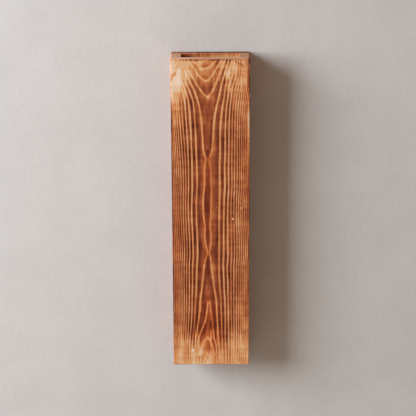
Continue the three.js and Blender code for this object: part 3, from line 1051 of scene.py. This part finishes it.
@dataclass(frozen=True)
class Box:
    """The wooden box: four boards and a floor block."""

    front: Board = Board(
        "front_board",
        CathedralRings(),
        Brushing(
            base=0.535,
            patches=(
                *on_front(
                    # The pale upper corners, and the wood between them and the arches
                    (-43, 196, 24, 42, 0.39), (-47, 150, 14, 30, 0.18), (40, 192, 24, 26, 0.23),
                    (30, 150, 22, 36, 0.11), (-38, 161, 8, 16, 0.09), (-28, 190, 7, 9, 0.06),
                    (24, 195, 6, 9, 0.12), (33, 168, 6, 9, 0.11), (41, 178, 5, 12, 0.11),
                    # Inside the upper arches
                    (-4, 204, 22, 30, 0.17), (-5, 198, 6, 5, -0.07), (-4, 140, 7, 12, -0.10),
                    (-4, 166, 5, 6, -0.07), (-4, 178, 16, 26, 0.03), (14, 183, 5, 13, 0.12),
                    # The lower arches and what stands beside them
                    (13, -180, 6, 20, -0.09), (14, -132, 8, 24, 0.04), (9, -155, 4, 26, -0.04),
                    (-2.5, -127, 2.6, 10, 0.12), (-30, -130, 16, 22, 0.03), (-4, -200, 20, 14, 0.04),
                    (-5, -199, 5, 11, 0.06), (4.5, -193, 3, 9, 0.06), (-4, -143, 4, 7, -0.10),
                    (-20, -187, 5, 13, 0.14), (-28, -167, 5, 14, -0.12), (-41, -152, 9, 16, 0.10),
                    (34, -140, 14, 26, 0.12), (46.5, -148, 4, 22, 0.15), (0, -139, 46, 3.5, -0.08),
                    (-4, -148, 36, 3, -0.07),
                    # Round a small bare burr on the right arris
                    (43, -68, 6, 12, 0.05),
                ),  # fmt: skip
                # The burr itself, and a scorched place above it
                *on_front((46.5, -51, 2.3, 3.5, 0.14), (47.5, 25, 1.5, 9, -0.12), ragged=3),
                # The tips of the upper arches, and the smooth wood at their left
                *on_front((-3, 154, 5, 4, 0.06), ragged=0),
                *on_front((-7, 188.3, 7, 1.8, 0.08), (-5, 173, 4.5, 1.5, 0.11), power=3, ragged=0),
                *on_front((-14, 185, 6, 18, 0.13), ragged=6),
                # Char left between the innermost rings
                *on_front(
                    (-3.8, -70, 2.4, 15, -0.33), (-3.8, -21, 2.2, 12, -0.27), (-4.5, 12, 2.8, 18, -0.19),
                    ragged=4,
                ),  # fmt: skip
                *on_front((5, -48, 2.5, 11, -0.20), (-12.5, -38, 2.2, 8, -0.18), ragged=6),
                *on_front((-4.5, -177, 7.5, 10, -0.11), ragged=8),
                # The middle of the right side, and the pale foot of the board
                *on_front((30, 0, 14, 80, 0.05), power=4),
                *on_front((0, -206, EVERYWHERE, 46, 0.24), power=7),
                *on_front(
                    # Scorched arrises and corners
                    (48.5, 180, 3.2, 17, -0.27), (-48.5, 0, 1.6, 170, -0.28), (47.8, 198, 1.6, 3.5, -0.4),
                    (-47.6, 122.5, 1.1, 3, -0.6), (-47.8, 113, 1.0, 3, -0.4),
                    # Nicks down to bare wood
                    (7.6, 12, 0.7, 1.2, 0.22), (38.2, 10.8, 0.9, 1.6, 0.40), (43.9, 12.6, 0.8, 1.2, 0.32),
                    (27.6, -3, 0.8, 1.3, 0.50), (-23.6, -180, 1.4, 2.0, 0.25),
                    power=4,
                    ragged=0,
                ),  # fmt: skip
                Patch((48.5, FRONT, 115), (2.7, 4, 32), 0.34, power=4, ragged=0),
                Patch((-48.5, FRONT, 120), (2.0, 4, 22), -0.20, power=4, ragged=0),
                # The arris along the top, scorched through, and the sawn edge behind it
                Patch((6, -49.5, 199.4), (38, 1.6, 1.4), -0.26, power=4, ragged=0),
                Patch((-38, -49.5, 199.4), (16, 1.6, 1.4), -0.16, power=4, ragged=0),
                Patch((0, -41, 200), (EVERYWHERE, 5.5, 1), 0.05, power=4, ragged=0),
                Patch((-25, -41, 200), (30, 5.5, 1), 0.08, power=4, ragged=0),
            ),
            streaks=(
                # Char that the brush left beside the innermost rings
                Streak(((86, -0.6), (100, 0.6), (116, 1.6), (124, 1.8)), 0.8, -0.30),
                Streak(((84, -6.2), (92, -7.2), (104, -7.4), (118, -8)), 0.6, -0.16),
                Streak(((78, -3.4), (82, -3.6), (86, -3.4)), 2.0, -0.16),
                Streak(((-136, -6.4), (-120, -3.6), (-116, -2.6)), 0.5, -0.12),
                Streak(((-147, -4.2), (-143, -5.6), (-139, -7.6)), 0.7, 0.14),
                Streak(((-166, 0), (-150, -1.6), (-136, -3.6)), 3.0, 0.04),
                # The hard edges at the tips of the upper arches
                Streak(((151.6, -2.8), (155, -6.2), (159, -9.6), (165, -13.6)), 0.9, 0.15),
                Streak(((151.6, -2.4), (156, -0.8), (160, 1.8), (165, 4), (171, 6)), 0.9, 0.15),
                Streak(((172.6, -5.4), (175, -8.8), (179, -12.8), (184, -17)), 0.8, 0.10),
                Streak(((172.6, -4.6), (175, -1.6), (181, 2.8), (191, 9.4)), 0.8, 0.10),
                Streak(((-9, 28.4), (-3, 28.6), (3, 28.2)), 0.6, -0.25),
                Streak(((180, 15.4), (184, 16.2), (189.5, 17.8)), 0.7, -0.25),
                Streak(((170, 17.2), (174, 17.3), (178, 17.5)), 1.0, -0.24),
                Streak(((170, 21.2), (173, 21.3), (176, 21.6)), 0.9, -0.24),
                # The hard edge of the lower arch, broader and drier than the rest
                Streak(((-186, -14.6), (-182, -13.8), (-176, -12), (-170, -8.6), (-163.6, -4.8)), 1.7, 0.10),
                Streak(((-188, 4.4), (-184, 4), (-175, 2.2), (-168, -0.6), (-163.6, -3)), 1.4, 0.12),
                Streak(((-198, -10.8), (-191, -9.4), (-186, -6.2)), 1.3, 0.05),
                Streak(((-198, 1.2), (-190, -0.6), (-186, -3.4)), 1.3, 0.05),
                # Torn fibres at the upper corners
                Streak(((178.6, -47.8), (184.9, -41.1)), 0.45, -0.34),
                Streak(((175.5, -48.0), (181.8, -41.8)), 0.4, -0.30),
                Streak(((173.5, -48.2), (176.8, -45.0)), 0.45, -0.26),
                Streak(((193, -41.2), (197, -36.8)), 0.5, -0.22),
                Streak(((188.5, -41.4), (192.5, -37.0)), 0.5, -0.24),
                Streak(((196, -42.6), (198.6, -39.4)), 0.5, -0.20),
                Streak(((189.2, 41.4), (193, 37.2), (197.6, 29.5)), 0.5, -0.26),
                Streak(((191.4, 41.8), (195.4, 36.8)), 0.45, -0.20),
                Streak(((184.6, 42.6), (186.4, 39.4)), 0.45, -0.18),
            ),
            oiled=(
                *on_front((-2, -146, 16, 40, 1.0), power=3),
                *on_front((-4, 20, 5.5, 90, 0.7), power=4),
            ),
        ),
        faces_front=True,
    )
    back: Board = Board(
        "back_board",
        GrowthRings(heart=(9.0, 34.0), ring_area=196, lean=(6, 4), seed=5.0),
        Brushing(
            base=0.46,
            patches=(
                Patch((0, -13, 200), (EVERYWHERE, 3, 60), 0.36, ragged=0),
                # Painted shade: a dark wedge in the inner left corner of the back board, standing in for the
                # shadow that the left side and the front board cast there, not char
                Patch((-36, -13, 193.2), (15, 2, 4.4), -0.80, ragged=0),
                Patch((30, -13, 200), (18, 3, 60), 0.12, ragged=0),
                Patch((14, -6, 201), (44, 7, 2.5), -0.33, ragged=0),
                Patch((0, 0, 200), (EVERYWHERE, 2.5, 1.5), -0.25, ragged=0),
                Patch((0, -13, 200), (EVERYWHERE, 1.2, 1.0), -0.22, ragged=0),
            ),
            seed=6.0,
        ),
    )
    left: Board = Board(
        "left_side",
        GrowthRings(heart=(-2.0, -70.0), ring_area=230, lean=(-3, 5), seed=8.0),
        Brushing(
            base=0.36,
            patches=(Patch((-48, -25, 205), (EVERYWHERE, EVERYWHERE, 12), 0.50, ragged=6),),
            seed=9.0,
        ),
    )
    right: Board = Board(
        "right_side",
        GrowthRings(heart=(12.0, 22.0), ring_area=215, lean=(4, -5), seed=11.0),
        Brushing(
            base=0.36, patches=(Patch((48, -25, 205), (EVERYWHERE, EVERYWHERE, 30), 0.34),), seed=12.0
        ),
    )
    floor: Board = Board(
        "floor_block",
        GrowthRings(heart=(4.0, -60.0), ring_area=240, seed=14.0),
        Brushing(base=0.7, seed=15.0),
        slot=Slot.PLAIN,
        relief_mm=0.0,
    )

    def build(self, nodes: dict[str, bpy.types.Object], box: tuple[Vector, Vector]) -> None:
        """Builds the boards.

        Args:
            nodes: the CAD nodes by name.
            box: the lowest and highest corner of the whole planter.
        """
        torched, planed = TorchedPine().build(), PlanedPine().build()
        for board in (self.front, self.back, self.left, self.right):
            board.build(nodes, torched, box)
        self.floor.build(nodes, planed, box)


@dataclass(frozen=True)
class CarriedOver:
    """CAD nodes whose shape is right as it is, and which get only their finish."""

    name: str
    nodes: tuple[str, ...]
    finish: MouldedPolypropylene | ZincPlatedSteel

    def build(self, nodes: dict[str, bpy.types.Object]) -> None:
        """Dresses the nodes.

        Args:
            nodes: the CAD nodes by name.
        """
        material = self.finish.build()
        for name in self.nodes:
            nodes[name].data.materials.clear()
            nodes[name].data.materials.append(material)
        LOG.info("%s: %d nodes in %s", self.name, len(self.nodes), material.name)


def pin_names() -> tuple[str, ...]:
    """The pins' node names: five in each side of the back board, and six into the floor block."""
    back = [f"back_pin_{side}_{i}" for side in ("left", "right") for i in range(1, 6)]
    floor = ["back_left", "back_right", "left_front", "left_rear", "right_front", "right_rear"]
    return (*back, *(f"floor_pin_{place}" for place in floor))


# ---------------------------------------------------------------- the studio


@dataclass(frozen=True)
class Studio:
    """The wall that the planter hangs on, the floor below, two soft lamps and the light of the room."""

    wall_gap: float = 0.0003  # behind the box
    wall_reach: tuple[float, float] = (0.8, 2.5)  # to the left, and to the right and up
    hole_inset: float = 0.0015  # the wall stops this far inside the box's outline, so that its back is lit
    floor_drop: float = 1.3  # below the planter's middle
    floor_reach: float = 20.0
    key_place: tuple[float, float, float] = (-2.05, -1.13, 0.82)
    key_size: tuple[float, float] = (1.48, 1.45)
    key_power: float = 108.0
    rear_place: tuple[float, float, float] = (-0.8, 1.5, 0.7)
    rear_size: tuple[float, float] = (1.2, 1.2)
    rear_power: float = 26.0
    lamp_tint: str = "E9F2FF"  # the daylight side of neutral, against the room's warm light
    room_light: str = "9B8470"
    room_strength: float = 0.93
    backdrop: str = "C9C4BF"

    def build(self, box: tuple[Vector, Vector]) -> None:
        """Builds the studio.

        Args:
            box: the lowest and highest corner of the planter.
        """
        self.wall(box)
        self.ground()
        self.lamp("key_lamp", self.key_place, self.key_size, self.key_power)
        self.lamp("rear_lamp", self.rear_place, self.rear_size, self.rear_power)
        self.room()
        LOG.info("studio: wall, floor, two lamps and the room's light")

    def wall(self, box: tuple[Vector, Vector]) -> None:
        """Builds the wall, open behind the planter.

        Args:
            box: the lowest and highest corner of the planter.
        """
        low, high = box
        mesh = bmesh.new()
        bmesh.ops.create_grid(mesh, x_segments=1, y_segments=1, size=1.0)
        middle = (low + high) / 2
        half = (high - low) / 2 - Vector((self.hole_inset,) * 3)
        turn = Matrix.Rotation(radians(90), 4, "X")
        bmesh.ops.transform(mesh, matrix=turn @ Matrix.Diagonal((half.x, half.z, 1, 1)), verts=mesh.verts)
        bmesh.ops.translate(mesh, vec=(middle.x, self.wall_gap, middle.z), verts=mesh.verts)
        opening = mesh.faces[:]
        rim = bmesh.ops.extrude_edge_only(mesh, edges=mesh.edges[:])
        outer = [part for part in rim["geom"] if isinstance(part, bmesh.types.BMVert)]
        for corner in outer:
            corner.co.x = self.wall_reach[1] if corner.co.x > middle.x else -self.wall_reach[0]
            corner.co.z = self.wall_reach[1] if corner.co.z > middle.z else -self.floor_drop
        bmesh.ops.delete(mesh, geom=opening, context="FACES")
        for face in mesh.faces:
            if face.normal.y > 0:
                face.normal_flip()
        new_object("wall", mesh, PaintedPlaster().build())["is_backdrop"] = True

    def ground(self) -> None:
        """Builds the plain pale floor."""
        mesh = bmesh.new()
        bmesh.ops.create_grid(mesh, x_segments=1, y_segments=1, size=self.floor_reach)
        bmesh.ops.translate(mesh, vec=(0, 0, -self.floor_drop), verts=mesh.verts)
        floor = PaintedPlaster(name="pale_floor", one_sided=False)
        new_object("floor", mesh, floor.build())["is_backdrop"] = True

    def lamp(
        self, name: str, place: tuple[float, float, float], size: tuple[float, float], power: float
    ) -> None:
        """Hangs a soft lamp that faces the planter.

        Args:
            name: its name.
            place: where it hangs.
            size: its width and height.
            power: in watts.
        """
        data = bpy.data.lights.new(name, "AREA")
        data.shape, data.size, data.size_y, data.energy = "RECTANGLE", size[0], size[1], power
        data.color = linear(self.lamp_tint)[:3]
        lamp = bpy.data.objects.new(name, data)
        lamp.location = place
        lamp.rotation_euler = (-Vector(place)).to_track_quat("-Z", "Y").to_euler()
        lamp.visible_camera = False
        bpy.context.scene.collection.objects.link(lamp)

    def room(self) -> None:
        """Sets the room's even light, and the pale backdrop that the camera and gloss see instead."""
        world = bpy.data.worlds.new("room")
        bpy.context.scene.world = world
        world.use_nodes = True
        tree = world.node_tree
        tree.nodes.clear()
        light = add_node(tree, "Background", (linear(self.room_light), self.room_strength))
        seen = add_node(tree, "Background", (linear(self.backdrop), 1.0))
        path = add_node(tree, "LightPath").outputs
        gloss = add_node(
            tree, "Math", (path["Is Glossy Ray"], path["Is Transmission Ray"]), operation="MAXIMUM"
        )
        direct = add_node(tree, "Math", (path["Is Camera Ray"], gloss), operation="MAXIMUM")
        add_node(tree, "OutputWorld", (add_node(tree, "MixShader", (direct, light, seen)),))


@dataclass(frozen=True)
class PhotoCamera:
    """The photograph's camera, worked out from the planter's corners in it."""

    place: tuple[float, float, float] = (0.0075, -1.8032, 0.5461)
    lens_mm: float = 127.04
    sensor_mm: float = 36.0
    down: float = 16.951  # degrees below level
    turn: float = 0.356  # degrees to the left
    tilt: float = -0.283  # degrees about the line of sight
    clip: tuple[float, float] = (0.1, 60.0)

    def build(self) -> None:
        """Sets the camera up."""
        data = bpy.data.cameras.new("photo_camera")
        data.lens, data.sensor_width = self.lens_mm, self.sensor_mm
        data.clip_start, data.clip_end = self.clip
        camera = bpy.data.objects.new("photo_camera", data)
        aim = Matrix.Rotation(radians(self.turn), 4, "Z") @ Matrix.Rotation(radians(90 - self.down), 4, "X")
        roll = Matrix.Rotation(radians(self.tilt), 4, "Z")
        camera.matrix_world = Matrix.Translation(self.place) @ aim @ roll
        bpy.context.scene.collection.objects.link(camera)
        bpy.context.scene.camera = camera


# ---------------------------------------------------------------- all of it


def main() -> None:
    """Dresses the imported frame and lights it."""
    logging.basicConfig(level=logging.INFO, format="%(name)s: %(message)s")
    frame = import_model()
    cad_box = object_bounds()
    nodes = frame["nodes"]
    Box().build(nodes, cad_box)
    CarriedOver("liner", ("liner",), MouldedPolypropylene()).build(nodes)
    hanger = ("keyhole_plate", "plate_screw_upper", "plate_screw_lower")
    CarriedOver("hanger", hanger, ZincPlatedSteel()).build(nodes)
    CarriedOver("pins", pin_names(), BrightPinSteel()).build(nodes)
    Studio().build(cad_box)
    PhotoCamera().build()
    bpy.context.scene.view_settings.view_transform = "Standard"


if __name__ == "__main__":
    main()
